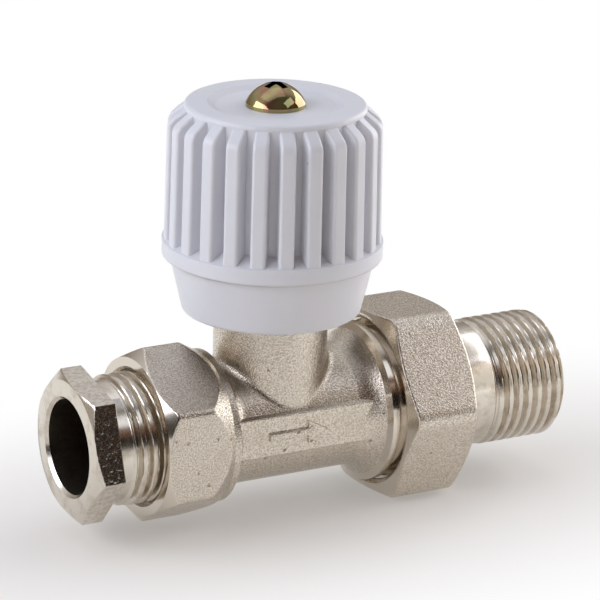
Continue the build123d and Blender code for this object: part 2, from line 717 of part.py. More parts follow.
PIECES = {
    "valve_body": make_valve_body,
    "compression_screw": make_compression_screw,
    "olive": make_olive,
    "union_nut": make_union_nut,
    "tailpiece": make_tailpiece,
    "tail_seal_ring": make_tail_seal_ring,
    "bonnet": make_bonnet,
    "bonnet_seal_ring": make_bonnet_seal_ring,
    "packing_ring": make_packing_ring,
    "gland_follower": make_gland_follower,
    "packing_nut": make_packing_nut,
    "spindle": make_spindle,
    "lower_spindle_ring": lambda: make_spindle_ring(RING_Z[0]),
    "upper_spindle_ring": lambda: make_spindle_ring(RING_Z[1]),
    "valve_disc": make_valve_disc,
    "seat_washer": make_seat_washer,
    "washer_screw": make_washer_screw,
    "disc_clip": make_disc_clip,
    "handwheel": make_handwheel,
    "handwheel_screw": make_handwheel_screw,
}

os.makedirs("parts", exist_ok=True)
for name, make in PIECES.items():
    export_step(Pos(-TAIL_THREAD_X, 0, 0) * make(), f"parts/{name}.step")
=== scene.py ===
import logging
import math
from dataclasses import dataclass
from enum import Enum
from typing import Any, Sequence

import bmesh
import bpy
import numpy as np
from mathutils import Matrix, Vector


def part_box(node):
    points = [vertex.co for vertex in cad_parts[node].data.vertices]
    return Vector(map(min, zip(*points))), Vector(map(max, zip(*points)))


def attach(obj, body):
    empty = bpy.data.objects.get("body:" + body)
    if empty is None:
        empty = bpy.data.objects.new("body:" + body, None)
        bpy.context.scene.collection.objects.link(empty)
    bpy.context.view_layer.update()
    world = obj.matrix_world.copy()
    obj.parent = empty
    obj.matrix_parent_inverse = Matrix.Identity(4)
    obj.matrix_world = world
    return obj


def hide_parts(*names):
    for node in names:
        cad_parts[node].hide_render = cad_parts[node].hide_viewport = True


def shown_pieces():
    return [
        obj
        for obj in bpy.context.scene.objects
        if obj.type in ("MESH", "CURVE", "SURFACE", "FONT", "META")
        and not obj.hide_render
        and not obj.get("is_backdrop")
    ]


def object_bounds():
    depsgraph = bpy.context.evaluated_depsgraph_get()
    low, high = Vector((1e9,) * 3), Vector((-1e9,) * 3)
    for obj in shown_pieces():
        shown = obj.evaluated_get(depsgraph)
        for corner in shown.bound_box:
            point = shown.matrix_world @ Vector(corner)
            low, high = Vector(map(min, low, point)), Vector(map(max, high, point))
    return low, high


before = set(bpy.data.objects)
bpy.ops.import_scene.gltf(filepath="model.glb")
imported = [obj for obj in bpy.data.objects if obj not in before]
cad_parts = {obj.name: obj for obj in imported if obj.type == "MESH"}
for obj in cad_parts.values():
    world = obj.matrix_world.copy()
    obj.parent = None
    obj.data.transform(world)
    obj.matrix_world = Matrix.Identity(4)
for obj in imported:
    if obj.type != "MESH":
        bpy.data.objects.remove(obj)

CAD_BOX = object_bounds()
MM = 0.001
FULL_TURN = 2 * math.pi
HEX_SIDES = 6
HEX_SECTOR = FULL_TURN / HEX_SIDES
SHARP_ANGLE = math.radians(32)
ROUND_PROFILE = 0.5

log = logging.getLogger("radiator_valve")

Socket = int | str
Colour = tuple[float, float, float, float]
Band = tuple[float, float]
Station = tuple[float, np.ndarray]


class Slot(Enum):
    """Material slots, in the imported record, of the pieces that are made here."""

    FORGED = "forged_nickel"
    MACHINED = "machined_nickel"


def linear(hex_colour: str) -> Colour:
    """Turns an sRGB hex colour into linear light.

    Args:
        hex_colour: Six hex digits after a hash.

    Returns:
        Linear red, green and blue, and a full alpha.
    """
    parts = [int(hex_colour[i : i + 2], 16) / 255 for i in (1, 3, 5)]
    red, green, blue = (p / 12.92 if p <= 0.04045 else ((p + 0.055) / 1.055) ** 2.4 for p in parts)
    return red, green, blue, 1.0


def per_metre(size_mm: float) -> float:
    """Turns the real size of a pattern's cell into a texture scale.

    Args:
        size_mm: Size of one cell in millimetres.

    Returns:
        Cells per metre.
    """
    return 1 / (size_mm * MM)


def span(band: Band) -> dict[Socket, float]:
    """Names the range that a Map Range node reads.

    Args:
        band: Start and end of the range.

    Returns:
        Values of the node's two sockets.
    """
    start, end = band
    return {"From Min": start, "From Max": end}


def set_inputs(tree: bpy.types.NodeTree, node: bpy.types.Node, inputs: dict[Socket, Any]) -> None:
    """Links or sets the input sockets of a node.

    Args:
        tree: Node tree of the node.
        node: Node whose sockets are set.
        inputs: Value or linked output for each input socket.
    """
    for socket, value in inputs.items():
        if isinstance(value, bpy.types.NodeSocket):
            tree.links.new(value, node.inputs[socket])
        else:
            node.inputs[socket].default_value = value


def add_node(
    tree: bpy.types.NodeTree,
    kind: str,
    inputs: dict[Socket, Any] | None = None,
    **settings: Any,
) -> bpy.types.Node:
    """Adds a node with its settings and links.

    Args:
        tree: Node tree that receives it.
        kind: Type name of the node.
        inputs: Value or linked output for each input socket.
        settings: Properties of the node itself.

    Returns:
        The new node.
    """
    node = tree.nodes.new(kind)
    for name, value in settings.items():
        setattr(node, name, value)
    set_inputs(tree, node, inputs or {})
    return node


# Sockets of a Mix node that mixes colours
MIX_A, MIX_B, MIX_RESULT = 6, 7, 2


@dataclass(frozen=True)
class TurnedRegion:
    """Part of a forging that was turned after blasting: where along*x + across*r is above a limit.

    Lengths are in metres, with x along the pipe axis and r the distance from it.
    """

    along: float
    across: float
    limit: float


@dataclass(frozen=True)
class Finish:
    """A real material with the way its surface was made."""

    name: str

    def material(self) -> bpy.types.Material:
        """Makes the material, or gives back the one already made.

        Returns:
            The Blender material of this finish.
        """
        made = bpy.data.materials.get(self.name)
        if made is not None:
            return made
        made = bpy.data.materials.new(self.name)
        made.use_nodes = True
        tree = made.node_tree
        self.paint(tree, tree.nodes["Principled BSDF"])
        return made

    def paint(self, tree: bpy.types.NodeTree, shader: bpy.types.Node) -> None:
        """Links the finish's patterns to the shader.

        Args:
            tree: Node tree of the material.
            shader: Its Principled shader.
        """
        raise NotImplementedError

    def dress(self, piece: bpy.types.Object) -> None:
        """Gives a piece this finish alone.

        Args:
            piece: Object that is dressed.
        """
        piece.data.materials.clear()
        piece.data.materials.append(self.material())


@dataclass(frozen=True)
class BlastedNickel(Finish):
    """Forged brass, grit blasted and nickel plated: a warm grey metal whose fine grain breaks each
    reflection into light and brown specks, with smooth bands where it was turned afterwards."""

    light: str = "#E2DACE"
    dark: str = "#BBAE9C"
    turned: str = "#D6CDC0"
    stain: str = "#86725A"
    # Painted shade: a dark brown colour inside the bores, within bore_mm of the pipe axis, standing in
    # for their shadow
    bore: str = "#5E5448"
    grit_mm: float = 0.26
    mottle_mm: float = 4.5
    pit_mm: float = 3.4
    relief_mm: float = 0.085
    roughness: float = 0.25
    turned_roughness: float = 0.14
    grain_band: Band = (0.36, 0.62)
    pit_edge: Band = (0.1, 0.17)
    pit_ragged: float = 0.14
    pit_share: float = 0.8
    soil_band: Band = (0.55, 0.85)
    soil_share: float = 0.22
    bore_mm: float = 0.0
    regions: tuple[TurnedRegion, ...] = ()

    def paint(self, tree: bpy.types.NodeTree, shader: bpy.types.Node) -> None:
        """Grain and pits on the forged skin, none on the turned regions, and a painted shade inside the
        bores.
        """
        place = add_node(tree, "ShaderNodeTexCoord").outputs["Object"]
        axes = add_node(tree, "ShaderNodeSeparateXYZ", {0: place}).outputs
        grit = add_node(
            tree, "ShaderNodeTexNoise",
            {"Vector": place, "Scale": per_metre(self.grit_mm), "Detail": 2.0, "Roughness": 0.6},
        ).outputs[0]
        mottle = add_node(
            tree, "ShaderNodeTexNoise",
            {"Vector": place, "Scale": per_metre(self.mottle_mm), "Detail": 3.0, "Roughness": 0.6},
        ).outputs[0]
        pits = add_node(
            tree, "ShaderNodeTexVoronoi", {"Vector": place, "Scale": per_metre(self.pit_mm)}
        ).outputs["Distance"]
        # The grain breaks the pits' round edges
        ragged = add_node(
            tree, "ShaderNodeMath", {0: grit, 1: self.pit_ragged, 2: pits}, operation="MULTIPLY_ADD"
        ).outputs[0]
        pit = add_node(
            tree, "ShaderNodeMapRange",
            {"Value": ragged, **span(self.pit_edge), "To Min": self.pit_share, "To Max": 0.0},
        ).outputs[0]
        speck = add_node(
            tree, "ShaderNodeMapRange", {"Value": grit, **span(self.grain_band)}
        ).outputs[0]
        grained = add_node(
            tree, "ShaderNodeMix",
            {0: speck, MIX_A: linear(self.dark), MIX_B: linear(self.light)}, data_type="RGBA",
        ).outputs[MIX_RESULT]

        # Distance from the pipe axis, for the regions that were turned
        ring = add_node(
            tree, "ShaderNodeCombineXYZ", {"X": 0.0, "Y": axes["Y"], "Z": axes["Z"]}
        ).outputs[0]
        radius = add_node(tree, "ShaderNodeVectorMath", {0: ring}, operation="LENGTH").outputs["Value"]
        smooth: Any = 0.0
        for region in self.regions:
            across = add_node(
                tree, "ShaderNodeMath", {0: radius, 1: region.across}, operation="MULTIPLY"
            ).outputs[0]
            level = add_node(
                tree, "ShaderNodeMath", {0: axes["X"], 1: region.along, 2: across},
                operation="MULTIPLY_ADD",
            ).outputs[0]
            inside = add_node(
                tree, "ShaderNodeMath", {0: level, 1: region.limit}, operation="GREATER_THAN"
            ).outputs[0]
            smooth = add_node(
                tree, "ShaderNodeMath", {0: smooth, 1: inside}, operation="MAXIMUM"
            ).outputs[0]

        skin = add_node(
            tree, "ShaderNodeMix", {0: smooth, MIX_A: grained, MIX_B: linear(self.turned)},
            data_type="RGBA",
        ).outputs[MIX_RESULT]
        soiled = add_node(
            tree, "ShaderNodeMapRange",
            {"Value": mottle, **span(self.soil_band), "To Max": self.soil_share},
        ).outputs[0]
        stained = add_node(
            tree, "ShaderNodeMix", {0: soiled, MIX_A: skin, MIX_B: linear(self.stain)},
            data_type="RGBA",
        ).outputs[MIX_RESULT]
        forged = add_node(tree, "ShaderNodeMath", {0: 1.0, 1: smooth}, operation="SUBTRACT").outputs[0]
        deep = add_node(tree, "ShaderNodeMath", {0: pit, 1: forged}, operation="MULTIPLY").outputs[0]
        pitted = add_node(
            tree, "ShaderNodeMix", {0: deep, MIX_A: stained, MIX_B: linear(self.stain)},
            data_type="RGBA",
        ).outputs[MIX_RESULT]
        # Painted shade inside the bores: the dark brown colour within bore_mm of the pipe axis
        in_bore_shade = add_node(
            tree, "ShaderNodeMath", {0: radius, 1: self.bore_mm * MM}, operation="LESS_THAN"
        ).outputs[0]
        colour = add_node(
            tree, "ShaderNodeMix", {0: in_bore_shade, MIX_A: pitted, MIX_B: linear(self.bore)},
            data_type="RGBA",
        ).outputs[MIX_RESULT]
        roughness = add_node(
            tree, "ShaderNodeMapRange",
            {"Value": smooth, "To Min": self.roughness, "To Max": self.turned_roughness},
        ).outputs[0]
        height = add_node(tree, "ShaderNodeMath", {0: grit, 1: pit}, operation="SUBTRACT").outputs[0]
        bump = add_node(
            tree, "ShaderNodeBump",
            {"Strength": forged, "Distance": self.relief_mm * MM, "Height": height},
        ).outputs[0]
        set_inputs(
            tree, shader,
            {"Base Color": colour, "Roughness": roughness, "Normal": bump, "Metallic": 1.0},
        )


@dataclass(frozen=True)
class TurnedMetal(Finish):
    """Metal finished on a lathe: smooth, with fine rings that draw each reflection out into bands."""

    light: str
    dark: str
    roughness: float
    ring_mm: float = 0.4  # drawn coarser than the real feed of 0.1 mm, so that it shows
    stain_mm: float = 3.2
    relief_mm: float = 0.004
    ring_strength: float = 0.8
    soil_band: Band = (0.48, 0.75)
    wear_band: Band = (0.3, 0.7)
    wear_shares: Band = (0.8, 1.3)
    upright: bool = False

    def paint(self, tree: bpy.types.NodeTree, shader: bpy.types.Node) -> None:
        """Rings round the lathe axis, on the sides and on the end faces, and faint stains."""
        place = add_node(tree, "ShaderNodeTexCoord").outputs["Object"]
        axes = add_node(tree, "ShaderNodeSeparateXYZ", {0: place}).outputs
        along, side = ("Z", "X") if self.upright else ("X", "Z")
        ring = add_node(
            tree, "ShaderNodeCombineXYZ", {"X": 0.0, "Y": axes["Y"], "Z": axes[side]}
        ).outputs[0]
        radius = add_node(tree, "ShaderNodeVectorMath", {0: ring}, operation="LENGTH").outputs["Value"]
        feed = add_node(tree, "ShaderNodeMath", {0: axes[along], 1: radius}, operation="ADD").outputs[0]
        groove = add_node(
            tree, "ShaderNodeTexNoise", {"W": feed, "Scale": per_metre(self.ring_mm), "Detail": 2.0},
            noise_dimensions="1D",
        ).outputs[0]
        stain = add_node(
            tree, "ShaderNodeTexNoise",
            {"Vector": place, "Scale": per_metre(self.stain_mm), "Detail": 4.0, "Roughness": 0.65},
        ).outputs[0]
        soiled = add_node(
            tree, "ShaderNodeMapRange", {"Value": stain, **span(self.soil_band)}
        ).outputs[0]
        colour = add_node(
            tree, "ShaderNodeMix",
            {0: soiled, MIX_A: linear(self.light), MIX_B: linear(self.dark)}, data_type="RGBA",
        ).outputs[MIX_RESULT]
        polished, dulled = self.wear_shares
        worn = add_node(
            tree, "ShaderNodeMapRange",
            {"Value": stain, **span(self.wear_band),
             "To Min": self.roughness * polished, "To Max": self.roughness * dulled},
        ).outputs[0]
        bump = add_node(
            tree, "ShaderNodeBump",
            {"Strength": self.ring_strength, "Distance": self.relief_mm * MM, "Height": groove},
        ).outputs[0]
        set_inputs(
            tree, shader, {"Base Color": colour, "Roughness": worn, "Normal": bump, "Metallic": 1.0}
        )


@dataclass(frozen=True)
class MouldedAbs(Finish):
    """White ABS from a spark-eroded mould: pale, slightly blue, with a soft sheen and a few specks."""

    body: str = "#E7E7EB"
    shade: str = "#DEDFE4"
    # Brown of the real specks and of the painted shade under the flange
    dirt_and_shade: str = "#8A7358"
    cloud_mm: float = 7.0
    speck_mm: float = 9.0
    spark_mm: float = 0.3  # drawn coarser than the real texture of about 0.1 mm, so that it shows
    relief_mm: float = 0.006
    spark_strength: float = 0.6
    roughness: float = 0.36
    refraction: float = 1.53
    glow_share: float = 0.06
    glow_reach: tuple[float, float, float] = (1.0, 0.9, 0.8)
    glow_mm: float = 1.2
    speck_edge: Band = (0.015, 0.035)
    speck_share: float = 0.5
    # Painted shade in the corner under the flange: its strength, its height and the half width of its
    # band
    flange_shade_share: float = 0.7
    flange_shade_z_mm: float = 0.0
    flange_shade_band_mm: float = 0.5

    def paint(self, tree: bpy.types.NodeTree, shader: bpy.types.Node) -> None:
        """Faint clouds, rare specks, and a painted brown shade in the corner under the flange."""
        place = add_node(tree, "ShaderNodeTexCoord").outputs["Object"]
        axes = add_node(tree, "ShaderNodeSeparateXYZ", {0: place}).outputs
        cloud = add_node(
            tree, "ShaderNodeTexNoise",
            {"Vector": place, "Scale": per_metre(self.cloud_mm), "Detail": 3.0},
        ).outputs[0]
        plain = add_node(
            tree, "ShaderNodeMix",
            {0: cloud, MIX_A: linear(self.body), MIX_B: linear(self.shade)}, data_type="RGBA",
        ).outputs[MIX_RESULT]
        specks = add_node(
            tree, "ShaderNodeTexVoronoi", {"Vector": place, "Scale": per_metre(self.speck_mm)}
        ).outputs["Distance"]
        speck = add_node(
            tree, "ShaderNodeMapRange",
            {"Value": specks, **span(self.speck_edge), "To Min": self.speck_share, "To Max": 0.0},
        ).outputs[0]
        # Painted shade: brown, strongest in a thin band round the corner under the flange, broken up by
        # the clouds
        below = add_node(
            tree, "ShaderNodeMath", {0: axes["Z"], 1: self.flange_shade_z_mm * MM}, operation="SUBTRACT"
        ).outputs[0]
        near = add_node(tree, "ShaderNodeMath", {0: below}, operation="ABSOLUTE").outputs[0]
        corner = add_node(
            tree, "ShaderNodeMapRange",
            {"Value": near, **span((0.0, self.flange_shade_band_mm * MM)),
             "To Min": self.flange_shade_share, "To Max": 0.0},
        ).outputs[0]
        patchy_flange_shade = add_node(tree, "ShaderNodeMath", {0: corner, 1: cloud}, operation="MULTIPLY").outputs[0]
        # The real specks and the painted shade under the flange take the same brown
        specks_and_flange_shade = add_node(tree, "ShaderNodeMath", {0: speck, 1: patchy_flange_shade}, operation="MAXIMUM").outputs[0]
        colour = add_node(
            tree, "ShaderNodeMix", {0: specks_and_flange_shade, MIX_A: plain, MIX_B: linear(self.dirt_and_shade)},
            data_type="RGBA",
        ).outputs[MIX_RESULT]
        spark = add_node(
            tree, "ShaderNodeTexNoise", {"Vector": place, "Scale": per_metre(self.spark_mm)}
        ).outputs[0]
        bump = add_node(
            tree, "ShaderNodeBump",
            {"Strength": self.spark_strength, "Distance": self.relief_mm * MM, "Height": spark},
        ).outputs[0]
        surface = {
            "Base Color": colour,
            "Roughness": self.roughness,
            "Normal": bump,
            "IOR": self.refraction,
        }
        glow = {
            "Subsurface Weight": self.glow_share,
            "Subsurface Radius": self.glow_reach,
            "Subsurface Scale": self.glow_mm * MM,
        }
        set_inputs(tree, shader, surface | glow)


@dataclass(frozen=True)
class YellowZinc(Finish):
    """Steel plated with zinc and passivated yellow: a mirror under a gold film, which drifts to pink and
    green with its thickness."""

    gold: str = "#A3976A"
    green: str = "#8C9066"
    pink: str = "#A37E66"
    drift_mm: float = 2.4
    tint_band: Band = (0.5, 0.7)
    dent_mm: float = 0.5
    dent_strength: float = 0.7
    relief_mm: float = 0.014
    roughness: float = 0.07

    def paint(self, tree: bpy.types.NodeTree, shader: bpy.types.Node) -> None:
        """Slow drifts of colour, and small dents from the screwdriver."""
        place = add_node(tree, "ShaderNodeTexCoord").outputs["Object"]
        drift = add_node(
            tree, "ShaderNodeTexNoise",
            {"Vector": place, "Scale": per_metre(self.drift_mm), "Detail": 1.0},
        ).outputs
        tint = add_node(tree, "ShaderNodeSeparateColor", {0: drift["Color"]}).outputs
        greenish = add_node(
            tree, "ShaderNodeMapRange", {"Value": tint["Red"], **span(self.tint_band)}
        ).outputs[0]
        pinkish = add_node(
            tree, "ShaderNodeMapRange", {"Value": tint["Green"], **span(self.tint_band)}
        ).outputs[0]
        film = add_node(
            tree, "ShaderNodeMix",
            {0: greenish, MIX_A: linear(self.gold), MIX_B: linear(self.green)}, data_type="RGBA",
        ).outputs[MIX_RESULT]
        colour = add_node(
            tree, "ShaderNodeMix", {0: pinkish, MIX_A: film, MIX_B: linear(self.pink)},
            data_type="RGBA",
        ).outputs[MIX_RESULT]
        dents = add_node(
            tree, "ShaderNodeTexNoise",
            {"Vector": place, "Scale": per_metre(self.dent_mm), "Detail": 2.0},
        ).outputs[0]
        bump = add_node(
            tree, "ShaderNodeBump",
            {"Strength": self.dent_strength, "Distance": self.relief_mm * MM, "Height": dents},
        ).outputs[0]
        set_inputs(
            tree, shader,
            {"Base Color": colour, "Roughness": self.roughness, "Normal": bump, "Metallic": 1.0},
        )


@dataclass(frozen=True)
class SoftCompound(Finish):
    """Rubber or PTFE for sealing: dull, with a fine grain and a slight bloom."""

    body: str
    bloom: str
    roughness: float
    grain_mm: float = 0.4
    relief_mm: float = 0.01
    grain_strength: float = 0.5

    def paint(self, tree: bpy.types.NodeTree, shader: bpy.types.Node) -> None:
        """One fine grain for the colour and the surface."""
        place = add_node(tree, "ShaderNodeTexCoord").outputs["Object"]
        grain = add_node(
            tree, "ShaderNodeTexNoise",
            {"Vector": place, "Scale": per_metre(self.grain_mm), "Detail": 3.0},
        ).outputs[0]
        colour = add_node(
            tree, "ShaderNodeMix",
            {0: grain, MIX_A: linear(self.body), MIX_B: linear(self.bloom)}, data_type="RGBA",
        ).outputs[MIX_RESULT]
        bump = add_node(
            tree, "ShaderNodeBump",
            {"Strength": self.grain_strength, "Distance": self.relief_mm * MM, "Height": grain},
        ).outputs[0]
        set_inputs(tree, shader, {"Base Color": colour, "Roughness": self.roughness, "Normal": bump})


@dataclass(frozen=True)
class PaperSweep(Finish):
    """Matt white paper of a studio sweep: it takes the shadow under the valve and is plain white
    further out. A band in front of the valve stays lit paper, so that the metal's lower sides mirror a
    duller tone."""

    paper: str = "#EFE9E0"
    roughness: float = 0.9
    near_share: float = 0.25
    shadow_mm: float = 14.0
    white_mm: float = 62.0
    front_start_mm: float = 45.0
    front_full_mm: float = 110.0
    front_end_mm: float = 150.0
    plain_mm: float = 320.0
    centre: tuple[float, float, float] = (0.0, 0.0, 0.0)
    behind: tuple[float, float, float] = (0.4912, 0.8711, 0.0)  # along the floor, away from the camera
    outline: tuple[float, float, float] = (0.45, 1.0, 1.0)  # the shadow is long, as the valve is

    def paint(self, tree: bpy.types.NodeTree, shader: bpy.types.Node) -> None:
        """Shaded paper near the valve, white for the eye and for reflections further out."""
        place = add_node(tree, "ShaderNodeTexCoord").outputs["Object"]
        offset = add_node(
            tree, "ShaderNodeVectorMath", {0: place, 1: self.centre}, operation="SUBTRACT"
        ).outputs[0]
        rounded = add_node(
            tree, "ShaderNodeVectorMath", {0: offset, 1: self.outline}, operation="MULTIPLY"
        ).outputs[0]
        away = add_node(tree, "ShaderNodeVectorMath", {0: rounded}, operation="LENGTH").outputs["Value"]
        depth = add_node(
            tree, "ShaderNodeVectorMath", {0: offset, 1: self.behind}, operation="DOT_PRODUCT"
        ).outputs["Value"]
        outside = add_node(
            tree, "ShaderNodeMapRange",
            {"Value": away, **span((self.shadow_mm * MM, self.white_mm * MM)),
             "To Min": self.near_share},
            interpolation_type="SMOOTHSTEP",
        ).outputs[0]
        sheet = add_node(
            tree, "ShaderNodeMapRange",
            {"Value": depth, **span((-self.front_full_mm * MM, -self.front_start_mm * MM))},
            interpolation_type="SMOOTHSTEP",
        ).outputs[0]
        near = add_node(tree, "ShaderNodeMath", {0: outside, 1: sheet}, operation="MULTIPLY").outputs[0]
        beyond = add_node(
            tree, "ShaderNodeMapRange",
            {"Value": away, **span((self.front_end_mm * MM, self.plain_mm * MM))},
            interpolation_type="SMOOTHSTEP",
        ).outputs[0]
        far = add_node(tree, "ShaderNodeMath", {0: near, 1: beyond}, operation="MAXIMUM").outputs[0]
        rays = add_node(tree, "ShaderNodeLightPath").outputs
        seen = add_node(
            tree, "ShaderNodeMath",
            {0: rays["Is Camera Ray"], 1: rays["Is Transmission Ray"]}, operation="MAXIMUM",
        ).outputs[0]
        looked_at = add_node(
            tree, "ShaderNodeMath", {0: seen, 1: rays["Is Glossy Ray"]}, operation="MAXIMUM"
        ).outputs[0]
        share = add_node(tree, "ShaderNodeMath", {0: far, 1: looked_at}, operation="MULTIPLY").outputs[0]
        white = add_node(tree, "ShaderNodeEmission", {"Strength": 1.0}).outputs[0]
        blend = add_node(
            tree, "ShaderNodeMixShader", {0: share, 1: shader.outputs[0], 2: white}
        ).outputs[0]
        set_inputs(tree, tree.nodes["Material Output"], {"Surface": blend})
        set_inputs(tree, shader, {"Base Color": linear(self.paper), "Roughness": self.roughness})


@dataclass(frozen=True)
class RoundedHexagon:
    """Hexagon about the pipe axis, with a corner at an angle from up towards +Y. Millimetres."""

    across_flats: float
    corner_deg: float
    corner_r: float

    def radius(self, angle: np.ndarray) -> np.ndarray:
        """Distance from the axis to the outline.

        Args:
            angle: Angles from up towards +Y, in radians.

        Returns:
            Radii in millimetres.
        """
        half = HEX_SECTOR / 2
        from_corner = (angle - math.radians(self.corner_deg) + half) % HEX_SECTOR - half
        flat = self.across_flats / 2
        straight = flat / np.cos(half - np.abs(from_corner))
        middle = (flat - self.corner_r) / math.cos(half)
        inside = np.maximum(self.corner_r**2 - (middle * np.sin(from_corner)) ** 2, 0)
        arc = middle * np.cos(from_corner) + np.sqrt(inside)
        reach = math.atan2(self.corner_r * math.sin(half), middle + self.corner_r * math.cos(half))
        return np.where(np.abs(from_corner) < reach, arc, straight)


@dataclass(frozen=True)
class PipeThread:
    """Right-hand pipe thread along the pipe axis, cut into a cylinder over its crests. Millimetres."""

    crest_r: float
    start: float
    end: float
    pitch: float = 1.8143
    depth: float = 1.0
    run_out: float = 1.6
    crest_share: float = 0.36
    root_share: float = 0.06
    straight_share: float = 0.6
    steps_per_pitch: int = 20

    def places(self) -> np.ndarray:
        """Spreads sections along the thread.

        Returns:
            Places along the axis in millimetres.
        """
        count = math.ceil((self.end - self.start) / self.pitch * self.steps_per_pitch)
        return np.linspace(self.start, self.end, count + 1)

    def radius(self, place: float, angle: np.ndarray, shank_r: float) -> np.ndarray:
        """Radius of the thread's skin.

        Args:
            place: Position along the axis in millimetres.
            angle: Angles from up towards +Y, in radians.
            shank_r: Radius of the plain shank from which the thread runs in.

        Returns:
            Radii in millimetres.
        """
        phase = (place / self.pitch + angle / FULL_TURN) % 1.0
        fall = np.abs(phase - 0.5) * 2
        span = 1 - self.crest_share - self.root_share
        slope = np.clip((fall - self.crest_share) / span, 0, 1)
        # A straight flank, rounded a little where it meets the crest and the root
        rounded = slope * slope * (3 - 2 * slope)
        form = self.straight_share * slope + (1 - self.straight_share) * rounded
        full = self.crest_r - self.depth * form
        cut_in = np.clip((place - self.start) / self.run_out, 0, 1)
        return shank_r + (full - shank_r) * cut_in


def skin_mesh(
    name: str,
    stations: Sequence[Station],
    angles: np.ndarray,
    shift_mm: float,
) -> bpy.types.Object:
    """Makes a closed skin round the pipe axis from rings that follow one another.

    Args:
        name: Name of the new object.
        stations: Place along the axis and radii of each ring, in millimetres; the last joins the first.
        angles: Angles of the rings' points, from up towards +Y.
        shift_mm: Shift along the axis, from the sizes' own zero to the frame.

    Returns:
        The new object, in metres.
    """
    places = np.array([place for place, _ in stations]) + shift_mm
    radii = np.array([np.broadcast_to(r, angles.shape) for _, r in stations])
    points = np.stack(
        [
            np.repeat(places[:, None], len(angles), axis=1),
            radii * np.sin(angles),
            radii * np.cos(angles),
        ],
        axis=-1,
    )
    rings, around = radii.shape
    index = np.arange(rings * around).reshape(rings, around)
    ahead = np.roll(index, -1, axis=0)
    quads = np.stack(
        [index, ahead, np.roll(ahead, -1, axis=1), np.roll(index, -1, axis=1)], axis=-1
    ).reshape(-1, 4)
    mesh = bpy.data.meshes.new(name)
    mesh.from_pydata((points.reshape(-1, 3) * MM).tolist(), [], quads.tolist())
    return finished_object(name, mesh)


def finished_object(name: str, mesh: bpy.types.Mesh) -> bpy.types.Object:
    """Turns the faces outwards, smooths all but the sharp edges and links the object.

    Args:
        name: Name of the new object.
        mesh: Mesh in metres, in the row frame.

    Returns:
        The linked object.
    """
    work = bmesh.new()
    work.from_mesh(mesh)
    bmesh.ops.recalc_face_normals(work, faces=work.faces)
    work.to_mesh(mesh)
    work.free()
    mesh.shade_smooth()
    mesh.set_sharp_from_angle(angle=SHARP_ANGLE)
    piece = bpy.data.objects.new(name, mesh)
    bpy.context.scene.collection.objects.link(piece)
    return piece


def round_edges(
    work: bmesh.types.BMesh,
    edges: list[bmesh.types.BMEdge],
    width_mm: float,
    steps: int,
) -> None:
    """Rounds edges of a mesh that is being made.

    Args:
        work: Mesh with the edges.
        edges: Edges that are rounded.
        width_mm: Width of the rounding in millimetres.
        steps: Faces across it.
    """
    bmesh.ops.bevel(
        work, geom=edges, offset=width_mm * MM, segments=steps, affect="EDGES", profile=ROUND_PROFILE
    )


# Nickel over turned brass: a warm silver with bright bands along the threads
NICKEL_TURNED = TurnedMetal("nickel_plated_turned_brass", "#D8D0C4", "#B9AC9B", roughness=0.21)
# Nickel over the skin of a drawn bar: coarser patches than blasting leaves, which break reflections up
NICKEL_DRAWN = BlastedNickel(
    "nickel_plated_drawn_hexagon",
    light="#DCD4C9", dark="#C4BAAD", grit_mm=0.7, relief_mm=0.1, roughness=0.2,
)
# Painted shade in the bore: a dull grey brown, darker than the turned nickel, that stands in for the
# shadow inside
SHADED_BORE = TurnedMetal("painted_shade_in_bore", "#8C8276", "#6A6055", roughness=0.36)
# Bare brass from the lathe: yellow with soft rings, round the pipe axis or round the spindle
BRASS_TURNED = TurnedMetal("turned_brass", "#D9B56A", "#A67F3E", roughness=0.25)
BRASS_UPRIGHT = TurnedMetal("turned_brass_upright", "#D9B56A", "#A67F3E", roughness=0.25, upright=True)
# Drawn spring wire: a satin grey
STEEL_SPRING = TurnedMetal("drawn_spring_steel", "#B9BABD", "#86888C", roughness=0.32, upright=True)
# Moulded rubber: dull and nearly black
EPDM = SoftCompound("moulded_epdm", "#17171A", "#2A2A2D", roughness=0.62)
# Turned PTFE: a waxy white
PTFE = SoftCompound("turned_ptfe", "#E2E1DC", "#D2D1CB", roughness=0.5)


class ScrewSkin(Enum):
    """Finishes of the compression screw, in the order of its material list."""

    TURNED = 0
    DRAWN = 1
    # Faces inside the bore, which take a painted shade
    BORE = 2


@dataclass
class SubAssembly:
    """Pieces of the valve that are built and dressed together."""

    def build(self) -> None:
        """Adds what the solids leave out. A group that needs nothing more keeps this."""

    def dress(self) -> None:
        """Gives each piece its finish."""
        raise NotImplementedError


